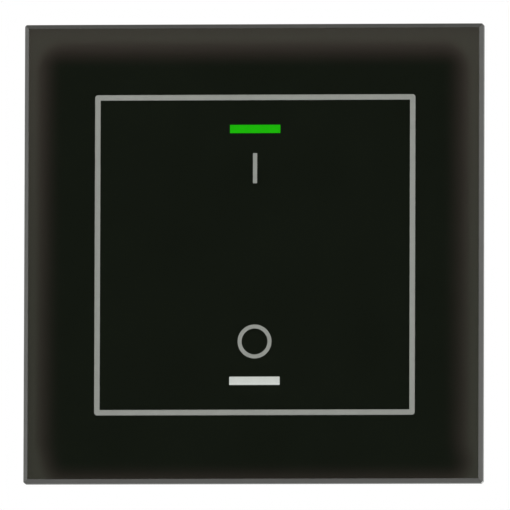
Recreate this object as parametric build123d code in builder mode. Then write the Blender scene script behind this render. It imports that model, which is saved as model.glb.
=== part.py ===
from build123d import *

import math
import os

# Touch light switch for a round wall box. All sizes are in millimetres.
# X runs to the right and Z up as the user sees the front, and Y runs into the wall.
# The origin is the centre of the mounting plate's back face, on the wall's surface.

os.makedirs("parts", exist_ok=True)

overrun = 1.0  # how far every through cut runs past what it cuts
full_turn = 360

# Glass front, with its front face the furthest from the wall
front_projection = 11.0
glass_side = 92.0
glass_thickness = 4.0
glass_corner_cut = 0.35
glass_front_chamfer = 0.85
glass_back_arris = 0.45

# Print on the back of the glass
print_thickness = 0.1
print_margin = 0.55
border_side = 64.25
border_line = 1.08
border_corner = 0.6
bar_length = 10.1
bar_height = 1.66
bar_offset = 25.25
symbol_offset = 17.37
on_symbol_length = 6.05
on_symbol_line = 0.84
off_symbol_diameter = 6.8
off_symbol_line = 0.8

# Carrier frame that holds the glass and the touch board
glass_overhang = 1.5
carrier_corner = 2.5
carrier_wall = 1.8
carrier_shadow_gap = 0.3
carrier_rim = 2.3
carrier_edge_radius = 0.6
ledge_thickness = 1.4
ledge_width = 4.0
gusset_margin = 1.0

# Adhesive sheet between the glass and what is behind it
adhesive_thickness = 0.4
adhesive_inset = 0.4
adhesive_window_clearance = 0.5

# Touch board, staked into the carrier frame
touch_board_clearance = 0.2
touch_board_thickness = 1.2
touch_board_corner = 1.5
touch_pad_thickness = 0.07
touch_pad_inset = 2.5
touch_pad_gap = 5.0
touch_pad_corner = 2.0
touch_pad_window_clearance = 1.2
stake_radius = 0.8
stake_clearance = 0.1
stake_spacing = 60.0

# Light guides and lamps behind the two bars
guide_margin = 0.25
guide_clearance = 0.12
guide_gap = 0.05
led_width = 2.0
led_height = 3.4
led_thickness = 0.8
led_pitch = 3.2
led_count = 3
led_lens_radius = 0.7
led_lens_depth = 0.2

# Touch controller chip with its leads, on the back of the touch board
controller_side = 7.0
controller_height = 1.0
controller_corner = 0.3
controller_standoff = 0.1
controller_x = -14.0
controller_z = 9.0
lead_count = 8
lead_pitch = 0.8
lead_width = 0.34
lead_thickness = 0.14
lead_drop = 0.5
lead_foot = 0.5

# Small resistors and capacitors on the back of the touch board
chip_length = 1.6
chip_width = 0.8
chip_height = 0.7
chip_columns = 4
chip_column_pitch = 3.0
chip_rows = 2
chip_row_pitch = 2.6
chip_group_x = 15.0
chip_group_z = 9.0

# Plug connection between the touch board and the power board
pin_size = 0.64
pin_pitch = 2.54
pin_columns = 4
pin_rows = 2
pin_hole_clearance = 0.12
pin_engagement = 2.9
connector_margin = 0.25
socket_height = 3.6
header_height = 2.5
header_window_clearance = 0.6

# Magnets and pegs that hold and align the front on the mounting plate
magnet_diameter = 8.0
magnet_clearance = 0.05
magnet_air_gap = 0.2
magnet_inset = 5.0
magnet_edge = 0.3
cup_wall = 1.2
peg_radius = 1.5
peg_clearance = 0.15
peg_inset = 3.6
peg_height = 14.0
peg_tab = 6.0
peg_end_gap = 0.4
peg_chamfer = 0.4

# Mounting plate inside the carrier frame, with slots for box screws 60 mm apart
plate_clearance = 4.7
plate_thickness = 1.2
plate_corner = 4.0
plate_window = 25.0
plate_window_corner = 3.0
box_screw_inset = 8.0
box_slot_width = 3.6
box_slot_length = 7.0

# Rear housing that goes into the wall box
module_side = 50.0
module_depth = 27.0
module_corner_cut = 10.5
housing_wall = 1.6
housing_edge_radius = 1.5
post_offset = 17.0
post_radius = 2.5
shelf_width = 2.0
shelf_offset = 12.0
label_length = 30.0
label_height = 12.0
label_depth = 0.3
label_offset = 4.0
label_corner = 1.0
vent_count = 9
vent_pitch = 2.4
vent_width = 1.1
vent_height = 4.0
vent_offset = 16.0

# Countersunk screws that clamp the plate and the housing together
housing_screw_radius = 1.1
housing_screw_length = 9.0
housing_screw_head_radius = 2.1
housing_screw_head_angle = 90
housing_screw_clearance = 0.1
housing_screw_slot_width = 0.6
housing_screw_slot_depth = 0.5
pilot_spare = 1.0

# Base cover and power board
cover_thickness = 1.4
cover_clearance = 0.15
cover_leg_radius = 1.5
cover_leg_height = 1.6
cover_leg_x = 19.5
cover_leg_z = 6.0
power_board_thickness = 1.6
power_board_clearance = 0.3
post_notch_clearance = 0.3

# Relay on the power board
relay_length = 19.0
relay_width = 15.4
relay_height = 14.0
relay_wall = 0.8
relay_fit = 0.1
relay_edge_radius = 0.5
relay_post_gap = 1.0
relay_edge_gap = 3.0
relay_base_thickness = 1.6
relay_pin_radius = 0.4
relay_pin_end_inset = 2.3
relay_pin_side_inset = 2.1
yoke_thickness = 1.0
yoke_width = 8.0
yoke_leg_gap = 0.8
yoke_leg_height = 8.2
core_radius = 1.6
pole_radius = 2.6
pole_thickness = 0.8
bobbin_flange_radius = 4.2
bobbin_flange_thickness = 0.6
bobbin_tube_wall = 0.4
bobbin_gap = 0.1
coil_radius = 4.0
armature_angle = 4.5
armature_gap = 0.05
armature_thickness = 0.9
armature_contact_gap = 1.7
armature_width = 6.8
armature_heel = 0.3
armature_stop_width = 1.2
armature_stop_gap = 0.1
contact_radius = 1.1
contact_height = 0.6
contact_closed_gap = 0.05
leaf_thickness = 0.2
leaf_width = 3.2
leaf_overlap = 7.5
leaf_tip = 1.3
contact_strip_thickness = 0.5
contact_strip_width = 2.8
contact_strip_reach = 1.2

# Other parts on the power board, spaced by the gaps between them
component_gap = 0.8
board_edge_gap = 1.5
lead_radius = 0.35
hole_clearance = 0.1
lead_tail = 0.6
can_edge_radius = 0.5
film_length = 10.5
film_width = 4.5
film_height = 10.0
film_edge_radius = 0.4
film_lead_pitch = 7.5
input_can_radius = 3.15
input_can_height = 11.5
input_can_lead_pitch = 2.5
output_can_radius = 2.5
output_can_height = 11.0
output_can_lead_pitch = 2.0
varistor_radius = 3.7
varistor_thickness = 3.0
varistor_edge_radius = 0.6
varistor_standoff = 1.2
varistor_lead_pitch = 5.0
fuse_length = 8.4
fuse_width = 4.2
fuse_height = 7.6
fuse_edge_radius = 0.4
fuse_edge_gap = 3.0
fuse_lead_pitch = 5.1
transformer_post_gap = 1.7
transformer_relay_gap = 1.0
transformer_length = 12.0
transformer_height = 9.6
transformer_core_width = 4.6
transformer_outer_leg = 2.0
transformer_middle_leg = 3.2
transformer_bar = 1.9
transformer_base_thickness = 1.2
transformer_base_width = 10.4
transformer_base_inset = 0.4
transformer_winding_wall = 1.9
transformer_winding_corner = 0.8
transformer_winding_gap = 0.1
transformer_lead_inset = 1.2
power_chip_length = 5.0
power_chip_width = 4.0
power_chip_height = 1.6
power_chip_offset = 16.5

# Terminal block with rising-cage screw terminals
pole_names = ["line", "load", "neutral"]
pole_pitch = 9.0
wire_recess = 4.0
block_height = 12.0
block_proud = 0.3
block_fit = 0.1
block_cheek = 1.2
block_flange_thickness = 1.4
block_flange_margin = 0.3
block_foot_radius = 0.9
block_foot_inset = 1.2
entry_wall = 1.6
entry_width = 4.6
entry_funnel = 0.5
terminal_head_radius = 2.4
terminal_head_height = 1.8
terminal_head_sink = 0.7
terminal_head_clearance = 0.2
terminal_head_seat_gap = 0.05
terminal_head_edge = 0.25
terminal_thread_radius = 1.5
terminal_thread_clearance = 0.05
terminal_tip_gap = 0.05
terminal_slot_width = 0.8
terminal_slot_depth = 0.9
terminal_shoulder = 1.2
cage_travel = 2.5
cage_width = 6.0
cage_depth = 5.8
cage_height = 7.5
cage_side_wall = 0.8
cage_clamp_wall = 0.9
cage_thread_wall = 1.4
cage_edge_radius = 0.4
cage_clearance = 0.2
cage_end_clearance = 0.1
tongue_thickness = 0.9
tongue_width = 4.0
tongue_clearance = 0.1
tongue_length = 9.0
tongue_bend_radius = 0.8

# Depths of the front stack, from the front face back to the wall
glass_front_y = -front_projection
glass_back_y = glass_front_y + glass_thickness
print_back_y = glass_back_y + print_thickness
adhesive_back_y = print_back_y + adhesive_thickness
touch_board_back_y = adhesive_back_y + touch_board_thickness
ledge_back_y = touch_board_back_y + ledge_thickness
socket_back_y = touch_board_back_y + socket_height
magnet_back_y = -plate_thickness - magnet_air_gap

# Depths of the rear module, from the wall inwards
board_front_y = cover_thickness + cover_leg_height
board_back_y = board_front_y + power_board_thickness
lead_end_y = board_front_y - lead_tail
floor_front_y = module_depth - housing_wall

# Widths and places that several pieces share
carrier_side = glass_side - 2 * glass_overhang
skirt_side = carrier_side - 2 * carrier_wall
pocket_side = carrier_side - 2 * carrier_rim
touch_board_side = pocket_side - 2 * touch_board_clearance
ledge_opening = touch_board_side - 2 * ledge_width
stake_offset = (pocket_side + ledge_opening) / 4
plate_side = skirt_side - 2 * plate_clearance
box_screw_spacing = plate_side - 2 * box_screw_inset
magnet_offset = plate_side / 2 - magnet_inset
magnet_radius = magnet_diameter / 2
peg_offset = plate_side / 2 - peg_inset
connector_length = pin_columns * pin_pitch + 2 * connector_margin
connector_width = pin_rows * pin_pitch + 2 * connector_margin
slot_length = bar_length + 2 * guide_margin + 2 * guide_clearance
slot_height = bar_height + 2 * guide_margin + 2 * guide_clearance


def facing(depth):
    """A sketch plane at this depth, whose positive side is towards the user."""
    return Plane.XZ.offset(-depth)


def write(piece, label):
    """Names a finished piece and writes its STEP file."""
    piece.part.label = label
    export_step(piece.part, f"parts/{label}.step")


def add_bars(places, width, height, front, back, mode=Mode.ADD):
    """Rectangular bars from one depth to another, each centred at an X and Z place."""
    with BuildSketch(facing(back)) as outline:
        with Locations(*places):
            Rectangle(width, height)
    extrude(outline.sketch, amount=back - front, mode=mode)


def add_rods(places, radius, front, back, mode=Mode.ADD):
    """Round rods from one depth to another, each centred at an X and Z place."""
    with BuildSketch(facing(back)) as outline:
        with Locations(*places):
            Circle(radius)
    extrude(outline.sketch, amount=back - front, mode=mode)


def pair_places(x, z, spacing_x=0, spacing_z=0):
    """Two places on either side of a centre."""
    half_x, half_z = spacing_x / 2, spacing_z / 2
    return [(x - half_x, z - half_z), (x + half_x, z + half_z)]


def corner_places(half_x, half_z, x=0, z=0):
    """The four corners of a rectangle round a centre."""
    return [(x + side * half_x, z + level * half_z) for side in (-1, 1) for level in (-1, 1)]


def edges_at(depth):
    """The edges of the part in hand that lie at this depth."""
    tolerance = print_thickness / 2
    return edges().filter_by(
        lambda edge: all(abs(vertex.Y - depth) < tolerance for vertex in edge.vertices())
    )


# Glass panel

with BuildPart() as glass_panel:
    add_bars([(0, 0)], glass_side, glass_side, glass_front_y, glass_back_y)
    chamfer(edges_at(glass_front_y), glass_front_chamfer)
    chamfer(edges_at(glass_back_y), glass_back_arris)
    with BuildSketch(facing(glass_back_y)):
        Rectangle(glass_side, glass_side)
        chamfer(vertices(), glass_corner_cut)
    extrude(amount=glass_thickness, mode=Mode.INTERSECT)
write(glass_panel, "glass_panel")

# Prints on the back of the glass


def draw_border(line, middle):
    """The square line round the touch field: its line in one mode and its middle in the other."""
    inner_side = border_side - 2 * border_line
    RectangleRounded(border_side, border_side, border_corner, mode=line)
    Rectangle(inner_side, inner_side, mode=middle)


def draw_on_symbol(mode=Mode.ADD):
    """The upright stroke that marks ON."""
    with Locations((0, symbol_offset)):
        Rectangle(on_symbol_line, on_symbol_length, mode=mode)


def draw_off_symbol(line, middle):
    """The ring that marks OFF: its line in one mode and its middle in the other."""
    with Locations((0, -symbol_offset)):
        Circle(off_symbol_diameter / 2, mode=line)
        Circle(off_symbol_diameter / 2 - off_symbol_line, mode=middle)


with BuildPart() as black_back_print:
    print_side = glass_side - 2 * print_margin
    with BuildSketch(facing(print_back_y)):
        Rectangle(print_side, print_side)
        draw_border(Mode.SUBTRACT, Mode.ADD)
        draw_on_symbol(Mode.SUBTRACT)
        draw_off_symbol(Mode.SUBTRACT, Mode.ADD)
        with Locations((0, bar_offset), (0, -bar_offset)):
            Rectangle(bar_length, bar_height, mode=Mode.SUBTRACT)
    extrude(amount=print_thickness)
write(black_back_print, "black_back_print")

with BuildPart() as border_line_print:
    with BuildSketch(facing(print_back_y)):
        draw_border(Mode.ADD, Mode.SUBTRACT)
    extrude(amount=print_thickness)
write(border_line_print, "border_line_print")

with BuildPart() as on_symbol_print:
    with BuildSketch(facing(print_back_y)):
        draw_on_symbol()
    extrude(amount=print_thickness)
write(on_symbol_print, "on_symbol_print")

with BuildPart() as off_symbol_print:
    with BuildSketch(facing(print_back_y)):
        draw_off_symbol(Mode.ADD, Mode.SUBTRACT)
    extrude(amount=print_thickness)
write(off_symbol_print, "off_symbol_print")

# Diffusing window, light guide, lamps and touch pad of the ON half above and the OFF half below

pad_width = border_side - 2 * border_line - 2 * touch_pad_inset
pad_height = (pad_width - touch_pad_gap) / 2
pad_offset = (pad_height + touch_pad_gap) / 2


def draw_touch_pads(*sides):
    """Touch pads, above the middle for side 1 and below it for side -1."""
    with Locations(*((0, side * pad_offset) for side in sides)):
        RectangleRounded(pad_width, pad_height, touch_pad_corner)


for state, side in (("on", 1), ("off", -1)):
    bar_place = (0, side * bar_offset)

    with BuildPart() as bar_window:
        add_bars([bar_place], bar_length, bar_height, glass_back_y, print_back_y)
    write(bar_window, f"{state}_bar_window")

    with BuildPart() as light_guide:
        add_bars(
            [bar_place],
            bar_length + 2 * guide_margin,
            bar_height + 2 * guide_margin,
            print_back_y,
            touch_board_back_y - guide_gap,
        )
    write(light_guide, f"{state}_light_guide")

    with BuildPart() as lamps:
        lamp_places = [
            (led_pitch * (index - (led_count - 1) / 2), side * bar_offset)
            for index in range(led_count)
        ]
        lamp_back_y = touch_board_back_y + led_thickness
        add_bars(lamp_places, led_width, led_height, touch_board_back_y, lamp_back_y)
        lens_back_y = touch_board_back_y + led_lens_depth
        add_rods(lamp_places, led_lens_radius, touch_board_back_y, lens_back_y, Mode.SUBTRACT)
    write(lamps, f"{state}_leds")

    with BuildPart() as touch_pad:
        with BuildSketch(facing(adhesive_back_y)):
            draw_touch_pads(side)
            with Locations(bar_place):
                Rectangle(
                    slot_length + 2 * touch_pad_window_clearance,
                    slot_height + 2 * touch_pad_window_clearance,
                    mode=Mode.SUBTRACT,
                )
        extrude(amount=touch_pad_thickness)
    write(touch_pad, f"{state}_touch_pad")

# Adhesive sheet, relieved over the two touch pads

with BuildPart() as adhesive_sheet:
    adhesive_side = carrier_side - 2 * adhesive_inset
    with BuildSketch(facing(adhesive_back_y)):
        RectangleRounded(adhesive_side, adhesive_side, carrier_corner)
        with Locations((0, bar_offset), (0, -bar_offset)):
            Rectangle(
                slot_length + 2 * adhesive_window_clearance,
                slot_height + 2 * adhesive_window_clearance,
                mode=Mode.SUBTRACT,
            )
    extrude(amount=adhesive_thickness)
    with BuildSketch(facing(adhesive_back_y)):
        draw_touch_pads(1, -1)
    extrude(amount=touch_pad_thickness, mode=Mode.SUBTRACT)
write(adhesive_sheet, "adhesive_sheet")

# Touch board

with BuildPart() as touch_board:
    with BuildSketch(facing(touch_board_back_y)):
        RectangleRounded(touch_board_side, touch_board_side, touch_board_corner)
        with Locations((0, bar_offset), (0, -bar_offset)):
            Rectangle(slot_length, slot_height, mode=Mode.SUBTRACT)
        with Locations(*corner_places(stake_offset, stake_spacing / 2)):
            Circle(stake_radius + stake_clearance, mode=Mode.SUBTRACT)
    extrude(amount=touch_board_thickness)
write(touch_board, "touch_board")

# Touch controller and its bent leads

controller_front_y = touch_board_back_y + controller_standoff
controller_back_y = controller_front_y + controller_height

with BuildPart() as touch_controller:
    add_bars(
        [(controller_x, controller_z)],
        controller_side,
        controller_side,
        controller_front_y,
        controller_back_y,
    )
    chamfer(edges_at(controller_back_y), controller_corner)
write(touch_controller, "touch_controller")

with BuildPart() as controller_lead:
    root_x = controller_side / 2
    drop_x = root_x + lead_drop
    foot_x = drop_x + lead_foot
    shoulder_y = controller_front_y + controller_height / 2
    with BuildSketch(Plane.XY.offset(-lead_width / 2)):
        with BuildLine():
            Polyline(
                (root_x, shoulder_y),
                (root_x, shoulder_y + lead_thickness),
                (drop_x, shoulder_y + lead_thickness),
                (drop_x, touch_board_back_y + lead_thickness),
                (foot_x, touch_board_back_y + lead_thickness),
                (foot_x, touch_board_back_y),
                (drop_x - lead_thickness, touch_board_back_y),
                (drop_x - lead_thickness, shoulder_y),
                close=True,
            )
        make_face()
    extrude(amount=lead_width)

lead_row = [(0, 0, lead_pitch * (index - (lead_count - 1) / 2)) for index in range(lead_count)]

with BuildPart() as touch_controller_leads:
    for side_number in range(4):
        turn = full_turn / 4 * side_number
        with Locations(Location((controller_x, 0, controller_z), (0, turn, 0))):
            with Locations(*lead_row):
                add(controller_lead.part)
write(touch_controller_leads, "touch_controller_leads")

# Small resistors and capacitors in two groups

with BuildPart() as touch_board_passives:
    for group_z in (chip_group_z, -chip_group_z):
        chip_places = [
            (
                chip_group_x + chip_column_pitch * (column - (chip_columns - 1) / 2),
                group_z + chip_row_pitch * (row - (chip_rows - 1) / 2),
            )
            for column in range(chip_columns)
            for row in range(chip_rows)
        ]
        chip_back_y = touch_board_back_y + chip_height
        add_bars(chip_places, chip_length, chip_width, touch_board_back_y, chip_back_y)
write(touch_board_passives, "touch_board_passives")

# Socket on the touch board and pin header on the power board

pin_places = [
    (
        pin_pitch * (column - (pin_columns - 1) / 2),
        pin_pitch * (row - (pin_rows - 1) / 2),
    )
    for column in range(pin_columns)
    for row in range(pin_rows)
]
socket_hole = pin_size + 2 * pin_hole_clearance

with BuildPart() as board_socket:
    add_bars([(0, 0)], connector_length, connector_width, touch_board_back_y, socket_back_y)
    add_bars(pin_places, socket_hole, socket_hole, touch_board_back_y, socket_back_y, Mode.SUBTRACT)
write(board_socket, "board_socket")

with BuildPart() as header_pins:
    pin_front_y = socket_back_y - pin_engagement
    add_bars(pin_places, pin_size, pin_size, pin_front_y, board_back_y + lead_tail)
write(header_pins, "header_pins")

with BuildPart() as pin_header:
    header_front_y = board_front_y - header_height
    add_bars([(0, 0)], connector_length, connector_width, header_front_y, board_front_y)
    add_bars(pin_places, pin_size, pin_size, header_front_y, board_front_y, Mode.SUBTRACT)
write(pin_header, "pin_header")

# Carrier frame: skirt, ledge, rim, stakes, magnet cups and alignment pegs

cup_radius = magnet_radius + magnet_clearance + cup_wall
gusset_side = skirt_side / 2 - (magnet_offset - cup_radius - gusset_margin)
gusset_offset = (skirt_side - gusset_side) / 2
tab_length = skirt_side / 2 - peg_offset + peg_tab / 2
tab_offset = (skirt_side - tab_length) / 2
magnet_places = corner_places(magnet_offset, magnet_offset)
peg_places = [(peg_offset, peg_height), (-peg_offset, peg_height)]

with BuildPart() as carrier_frame:
    with BuildSketch(facing(-carrier_shadow_gap)):
        RectangleRounded(carrier_side, carrier_side, carrier_corner)
    extrude(amount=-carrier_shadow_gap - adhesive_back_y)
    fillet(edges_at(-carrier_shadow_gap), carrier_edge_radius)
    add_bars([(0, 0)], skirt_side, skirt_side, ledge_back_y, 0, Mode.SUBTRACT)
    ledge_cut_y = touch_board_back_y - overrun
    add_bars([(0, 0)], ledge_opening, ledge_opening, ledge_cut_y, ledge_back_y, Mode.SUBTRACT)
    pocket_cut_y = adhesive_back_y - overrun
    add_bars([(0, 0)], pocket_side, pocket_side, pocket_cut_y, touch_board_back_y, Mode.SUBTRACT)
    gusset_places = corner_places(gusset_offset, gusset_offset)
    add_bars(gusset_places, gusset_side, gusset_side, touch_board_back_y, ledge_back_y)
    tab_places = [(tab_offset, peg_height), (-tab_offset, peg_height)]
    add_bars(tab_places, tab_length, peg_tab, touch_board_back_y, ledge_back_y)
    stake_places = corner_places(stake_offset, stake_spacing / 2)
    add_rods(stake_places, stake_radius, adhesive_back_y, touch_board_back_y)
    add_rods(magnet_places, cup_radius, ledge_back_y, magnet_back_y)
    bore_radius = magnet_radius + magnet_clearance
    add_rods(magnet_places, bore_radius, ledge_back_y, magnet_back_y, Mode.SUBTRACT)
    add_rods(peg_places, peg_radius, ledge_back_y, -peg_end_gap)
    chamfer(edges_at(-peg_end_gap), peg_chamfer)
write(carrier_frame, "carrier_frame")

with BuildPart() as retaining_magnets:
    add_rods(magnet_places, magnet_radius, ledge_back_y, magnet_back_y)
    chamfer(edges_at(magnet_back_y), magnet_edge)
write(retaining_magnets, "retaining_magnets")

# Mounting plate

screw_places = corner_places(post_offset, post_offset)

with BuildPart() as mounting_plate:
    with BuildSketch(facing(0)):
        RectangleRounded(plate_side, plate_side, plate_corner)
        RectangleRounded(plate_window, plate_window, plate_window_corner, mode=Mode.SUBTRACT)
        with Locations((box_screw_spacing / 2, 0), (-box_screw_spacing / 2, 0)):
            SlotOverall(box_slot_length, box_slot_width, mode=Mode.SUBTRACT)
        with Locations((0, box_screw_spacing / 2), (0, -box_screw_spacing / 2)):
            SlotOverall(box_slot_length, box_slot_width, rotation=90, mode=Mode.SUBTRACT)
        with Locations(*peg_places):
            Circle(peg_radius + peg_clearance, mode=Mode.SUBTRACT)
    extrude(amount=plate_thickness)
    with Locations(facing(-plate_thickness)):
        with Locations(*screw_places):
            CounterSinkHole(
                housing_screw_radius + housing_screw_clearance,
                housing_screw_head_radius,
                counter_sink_angle=housing_screw_head_angle,
            )
write(mounting_plate, "mounting_plate")

# Countersunk housing screws, drawn as a half section and turned about their own axis

with BuildPart() as housing_screw:
    half_angle = math.radians(housing_screw_head_angle / 2)
    head_depth = (housing_screw_head_radius - housing_screw_radius) / math.tan(half_angle)
    with BuildSketch(Plane.XZ):
        with BuildLine():
            Polyline(
                (0, 0),
                (housing_screw_head_radius, 0),
                (housing_screw_radius, -head_depth),
                (housing_screw_radius, -housing_screw_length),
                (0, -housing_screw_length),
                close=True,
            )
        make_face()
    revolve(axis=Axis.Z)
    with BuildSketch(Plane.XY):
        Rectangle(2 * housing_screw_head_radius, housing_screw_slot_width)
        Rectangle(housing_screw_slot_width, 2 * housing_screw_head_radius)
    extrude(amount=-housing_screw_slot_depth, mode=Mode.SUBTRACT)

with BuildPart() as housing_screws:
    with Locations(facing(-plate_thickness)):
        with Locations(*screw_places):
            add(housing_screw.part)
write(housing_screws, "housing_screws")

# Outlines inside the rear module, all offset from the housing's own octagon


def draw_octagon(inset):
    """The module's octagon, drawn in from its outside by the same inset on every face."""
    side = module_side - 2 * inset
    Rectangle(side, side)
    chamfer(vertices(), module_corner_cut - inset * (2 - math.sqrt(2)))


block_width = pole_pitch * len(pole_names)
block_bottom_z = wire_recess - module_side / 2
block_top_z = block_bottom_z + block_height
block_middle_z = (block_bottom_z + block_top_z) / 2
block_back_y = module_depth + block_proud
head_seat_y = block_back_y - terminal_head_sink - terminal_head_height - terminal_head_seat_gap
pocket_back_y = head_seat_y - terminal_shoulder
cage_open_back_y = pocket_back_y - cage_end_clearance - cage_travel
cage_open_front_y = cage_open_back_y - cage_height
tongue_back_y = cage_open_back_y - cage_thread_wall - terminal_tip_gap
tongue_front_y = tongue_back_y - tongue_thickness
flange_back_y = cage_open_front_y - cage_end_clearance
block_front_y = flange_back_y - block_flange_thickness
pocket_depth = cage_depth + 2 * cage_clearance
pocket_bottom_z = block_bottom_z + entry_wall
terminal_z = pocket_bottom_z + pocket_depth / 2
pole_places = [
    (pole_pitch * (index - (len(pole_names) - 1) / 2), terminal_z)
    for index in range(len(pole_names))
]

# Rear housing

with BuildPart() as rear_housing:
    with BuildSketch(facing(module_depth)):
        draw_octagon(0)
    extrude(amount=module_depth)
    fillet(edges_at(module_depth), housing_edge_radius)
    with BuildSketch(facing(floor_front_y)):
        draw_octagon(housing_wall)
    extrude(amount=floor_front_y + overrun, mode=Mode.SUBTRACT)
    shelf_x = module_side / 2 - housing_wall - shelf_width / 2
    shelf_places = corner_places(shelf_x, shelf_offset)
    add_bars(shelf_places, shelf_width, shelf_width, board_back_y, floor_front_y)
    add_rods(screw_places, post_radius, cover_thickness, floor_front_y)
    pilot_end_y = housing_screw_length - plate_thickness + pilot_spare
    add_rods(screw_places, housing_screw_radius, 0, pilot_end_y, Mode.SUBTRACT)
    notch_bottom_z = -module_side / 2 - overrun
    notch_height = block_top_z + block_fit - notch_bottom_z
    add_bars(
        [(0, notch_bottom_z + notch_height / 2)],
        block_width + 2 * block_fit,
        notch_height,
        flange_back_y - block_fit,
        module_depth + overrun,
        Mode.SUBTRACT,
    )
    with BuildSketch(facing(module_depth)):
        with Locations((0, label_offset)):
            RectangleRounded(label_length, label_height, label_corner)
    extrude(amount=label_depth, mode=Mode.SUBTRACT)
    vent_places = [
        (vent_pitch * (index - (vent_count - 1) / 2), vent_offset) for index in range(vent_count)
    ]
    with BuildSketch(facing(module_depth)):
        with Locations(*vent_places):
            SlotOverall(vent_height, vent_width, rotation=90)
    extrude(amount=housing_wall + overrun, mode=Mode.SUBTRACT)
write(rear_housing, "rear_housing")

# Base cover with its board legs

with BuildPart() as base_cover:
    with BuildSketch(facing(cover_thickness)):
        draw_octagon(housing_wall + cover_clearance)
        Rectangle(
            connector_length + 2 * header_window_clearance,
            connector_width + 2 * header_window_clearance,
            mode=Mode.SUBTRACT,
        )
        with Locations(*screw_places):
            Circle(housing_screw_radius + housing_screw_clearance, mode=Mode.SUBTRACT)
    extrude(amount=cover_thickness)
    leg_places = corner_places(cover_leg_x, cover_leg_z)
    add_rods(leg_places, cover_leg_radius, cover_thickness, board_front_y)
write(base_cover, "base_cover")

# Places of the parts on the power board, each spaced from its neighbour

board_half = module_side / 2 - housing_wall - power_board_clearance
relay_x = relay_length / 2 + relay_post_gap - (post_offset - post_radius)
relay_z = module_side / 2 - housing_wall - relay_edge_gap - relay_width / 2
relay_left_x = relay_x - relay_length / 2
relay_right_x = relay_x + relay_length / 2
relay_bottom_z = relay_z - relay_width / 2
input_can_x = relay_left_x - component_gap - input_can_radius
input_can_z = relay_bottom_z + input_can_radius
film_x = film_length / 2 + board_edge_gap - board_half
film_z = relay_bottom_z - component_gap - film_width / 2
output_can_x = film_x + film_length / 2 + component_gap + output_can_radius
output_can_z = relay_bottom_z - component_gap - output_can_radius
transformer_x = relay_right_x + transformer_relay_gap + transformer_length / 2
transformer_z = post_offset - post_radius - transformer_post_gap - transformer_base_width / 2
transformer_bottom_z = transformer_z - transformer_base_width / 2
fuse_x = board_half - fuse_edge_gap - fuse_length / 2
fuse_z = transformer_bottom_z - component_gap - fuse_width / 2
varistor_x = fuse_x - fuse_length / 2 - component_gap - varistor_thickness / 2
varistor_z = transformer_bottom_z - component_gap - varistor_radius
varistor_middle_y = board_back_y + varistor_standoff + varistor_radius

relay_pin_places = corner_places(
    relay_length / 2 - relay_pin_end_inset,
    relay_width / 2 - relay_pin_side_inset,
    relay_x,
    relay_z,
)
varistor_lead_places = pair_places(varistor_x, varistor_z, spacing_z=varistor_lead_pitch)
transformer_lead_places = corner_places(
    transformer_length / 2 - transformer_lead_inset,
    transformer_base_width / 2 - transformer_lead_inset,
    transformer_x,
    transformer_z,
)
standing_lead_places = [
    *pair_places(film_x, film_z, film_lead_pitch),
    *pair_places(input_can_x, input_can_z, input_can_lead_pitch),
    *pair_places(output_can_x, output_can_z, output_can_lead_pitch),
    *pair_places(fuse_x, fuse_z, fuse_lead_pitch),
    *transformer_lead_places,
]

# Leads of the parts that stand on the power board

with BuildPart() as component_leads:
    add_rods(standing_lead_places, lead_radius, lead_end_y, board_back_y)
    add_rods(varistor_lead_places, lead_radius, lead_end_y, varistor_middle_y)
write(component_leads, "component_leads")

# Power board, drilled for every lead and notched round the housing's posts

tongue_foot_z = pocket_bottom_z + tongue_clearance + tongue_length - tongue_thickness / 2

with BuildPart() as power_board:
    with BuildSketch(facing(board_back_y)):
        draw_octagon(housing_wall + power_board_clearance)
        with Locations(*screw_places):
            Circle(post_radius + post_notch_clearance, mode=Mode.SUBTRACT)
        with Locations(*standing_lead_places, *varistor_lead_places):
            Circle(lead_radius + hole_clearance, mode=Mode.SUBTRACT)
        with Locations(*relay_pin_places):
            Circle(relay_pin_radius + hole_clearance, mode=Mode.SUBTRACT)
        with Locations(*pin_places):
            Rectangle(pin_size + hole_clearance, pin_size + hole_clearance, mode=Mode.SUBTRACT)
        with Locations(*((x, tongue_foot_z) for x, z in pole_places)):
            Rectangle(
                tongue_width + 2 * hole_clearance,
                tongue_thickness + 2 * hole_clearance,
                mode=Mode.SUBTRACT,
            )
    extrude(amount=power_board_thickness)
write(power_board, "power_board")

# Film capacitor, fuse and the two round capacitors

with BuildPart() as film_capacitor:
    film_back_y = board_back_y + film_height
    add_bars([(film_x, film_z)], film_length, film_width, board_back_y, film_back_y)
    fillet(edges_at(film_back_y), film_edge_radius)
write(film_capacitor, "film_capacitor")

with BuildPart() as fuse:
    fuse_back_y = board_back_y + fuse_height
    add_bars([(fuse_x, fuse_z)], fuse_length, fuse_width, board_back_y, fuse_back_y)
    fillet(edges_at(fuse_back_y), fuse_edge_radius)
write(fuse, "fuse")

with BuildPart() as input_capacitor:
    input_back_y = board_back_y + input_can_height
    add_rods([(input_can_x, input_can_z)], input_can_radius, board_back_y, input_back_y)
    fillet(edges_at(input_back_y), can_edge_radius)
write(input_capacitor, "input_capacitor")

with BuildPart() as output_capacitor:
    output_back_y = board_back_y + output_can_height
    add_rods([(output_can_x, output_can_z)], output_can_radius, board_back_y, output_back_y)
    fillet(edges_at(output_back_y), can_edge_radius)
write(output_capacitor, "output_capacitor")

# Varistor disc, which stands on its two leads

with BuildPart() as varistor:
    with BuildSketch(Plane.YZ.offset(varistor_x - varistor_thickness / 2)):
        with Locations((varistor_middle_y, varistor_z)):
            Circle(varistor_radius)
    extrude(amount=varistor_thickness)
    fillet(edges().filter_by(GeomType.CIRCLE), varistor_edge_radius)
    add_rods(varistor_lead_places, lead_radius, board_back_y, varistor_middle_y, Mode.SUBTRACT)
write(varistor, "varistor")

# Supply and driver chips, under the terminal block

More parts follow.
